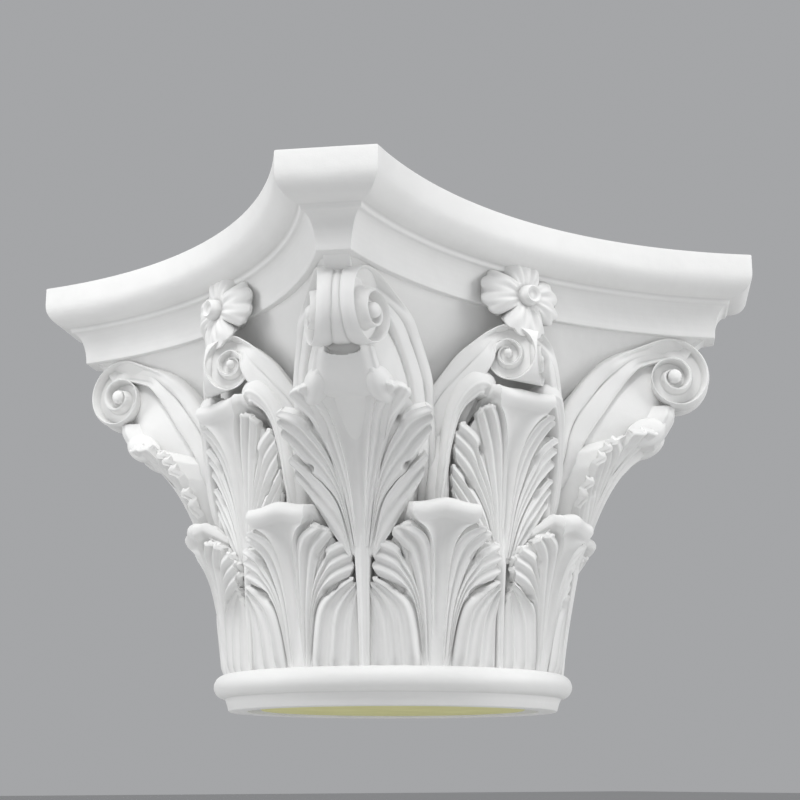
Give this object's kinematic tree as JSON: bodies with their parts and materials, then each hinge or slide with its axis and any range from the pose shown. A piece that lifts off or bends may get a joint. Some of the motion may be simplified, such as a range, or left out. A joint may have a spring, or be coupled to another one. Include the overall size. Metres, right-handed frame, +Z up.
{
  "type": "column capital",
  "caption": "Moulded Corinthian column capital: tiers of acanthus leaves, corner scrolls and face flowers under a hollow-sided slab, on a round neck ring.",
  "frame": {"origin": "centre of the underside of the neck ring", "axes": "+Z up along the column's axis; the four faces look along X and Y and the four horns lie on the diagonals"},
  "size_m": [0.4146, 0.4146, 0.316],
  "materials": {
    "primed_foam": "matt white primer on rigid foam"
  },
  "bodies": {
    "root": {"capital": "primed_foam"}
  },
  "joints": []
}
